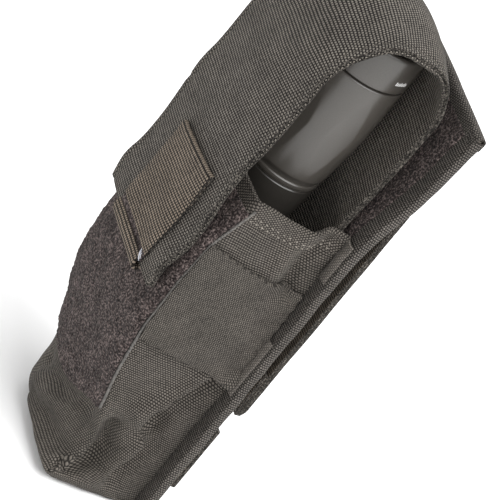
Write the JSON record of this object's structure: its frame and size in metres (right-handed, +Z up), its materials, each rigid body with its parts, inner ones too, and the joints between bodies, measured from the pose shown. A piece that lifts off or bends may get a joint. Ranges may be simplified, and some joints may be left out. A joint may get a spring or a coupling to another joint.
{
  "type": "flashlight in belt pouch",
  "caption": "Black metal flashlight with a faceted head, carried head up in a nylon belt pouch with a flap strap, elastic side bands and a belt loop on its back.",
  "frame": {"origin": "middle of the set's outer box in plan, at the height of the pouch's bottom, on the flashlight's axis", "axes": "+Z up along the flashlight's axis towards its head, -Y is the pouch's front, +Y its back, which lies against the belt, +X its right side"},
  "size_m": [0.0612, 0.0592, 0.1822],
  "materials": {
    "anodised_black": "satin",
    "lens_glass": "clear",
    "reflector_silver": "mirror",
    "brass": "machined",
    "spring_steel": "plated",
    "circuit_green": "lacquered",
    "emitter_yellow": "domed",
    "battery_wrap": "shrink film",
    "switch_plastic": "moulded",
    "rubber_black": "matte",
    "nylon_black": "coarse plain weave",
    "strap_black": "coarse ribbed weave",
    "webbing_black": "ribbed webbing",
    "elastic_black": "fine ribbed elastic",
    "loop_black": "fuzzy loop",
    "hook_black": "hook tape",
    "binding_black": "smooth folded tape",
    "thread_black": "dense stitching"
  },
  "bodies": {
    "pouch": {"back_panel": "nylon_black", "front_panel": "nylon_black", "bottom_panel": "nylon_black", "front_loop_patch": "loop_black", "back_loop_patch": "loop_black", "mouth_binding": "binding_black", "webbing_row": "webbing_black", "side_gusset_right": "nylon_black", "side_gusset_left": "nylon_black", "elastic_band_right": "elastic_black", "elastic_band_left": "elastic_black", "seam_binding_right": "binding_black", "seam_binding_left": "binding_black", "flap_tail": "strap_black", "belt_tongue": "webbing_black", "belt_tongue_loop": "loop_black", "belt_anchor": "webbing_black", "bartacks": "thread_black"},
    "flap": {"flap_strap": "strap_black", "flap_lining": "strap_black", "flap_edge_right": "binding_black", "flap_edge_left": "binding_black", "flap_hook_patch": "hook_black", "pull_tab": "webbing_black", "pull_tab_fold": "webbing_black"},
    "belt_strap": {"belt_loop": "webbing_black", "belt_loop_fold": "webbing_black", "belt_loop_hook": "hook_black"},
    "light": {"head_shell": "anodised_black", "body_tube": "anodised_black", "reflector": "reflector_silver", "led_emitter": "emitter_yellow", "led_board": "circuit_green", "heat_pill": "brass", "driver_board": "circuit_green", "driver_spring": "spring_steel", "battery_cell": "battery_wrap", "battery_cap": "spring_steel", "head_seal": "rubber_black", "tail_seal": "rubber_black"},
    "bezel": {"bezel_ring": "anodised_black", "lens": "lens_glass", "lens_seal": "rubber_black"},
    "tail": {"tail_cap": "anodised_black", "switch_module": "switch_plastic", "retaining_ring": "brass", "tail_spring": "spring_steel"},
    "button": {"tail_button": "rubber_black", "switch_plunger": "switch_plastic"}
  },
  "joints": [
    {"name": "light_draw", "type": "slide", "parent": "pouch", "child": "light", "axis": [0, 0, 1], "range_m": [0, 0.035]},
    {"name": "flap_open", "type": "hinge", "parent": "pouch", "child": "flap", "pos_m": [0, 0.027, 0.1665], "axis": [-1, 0, 0], "range_deg": [0, 150]},
    {"name": "belt_strap_open", "type": "hinge", "parent": "pouch", "child": "belt_strap", "pos_m": [0, 0.0274, 0.1386], "axis": [1, 0, 0], "range_deg": [0, 100]},
    {"name": "bezel_turn", "type": "hinge", "parent": "light", "child": "bezel", "pos_m": [0, 0, 0.165], "axis": [0, 0, 1], "range_deg": [0, 180]},
    {"name": "tail_cap_turn", "type": "hinge", "parent": "light", "child": "tail", "pos_m": [0, 0, 0.03], "axis": [0, 0, 1], "range_deg": [0, 180]},
    {"name": "tail_button_press", "type": "slide", "parent": "tail", "child": "button", "axis": [0, 0, 1], "range_m": [0, 0.0016], "stiffness_N_per_m": 1500, "springref_m": -0.0006}
  ],
  "couplings": [
    {"joint": "flap_open", "follows": "light_draw", "rad_per_m": 74.8}
  ]
}
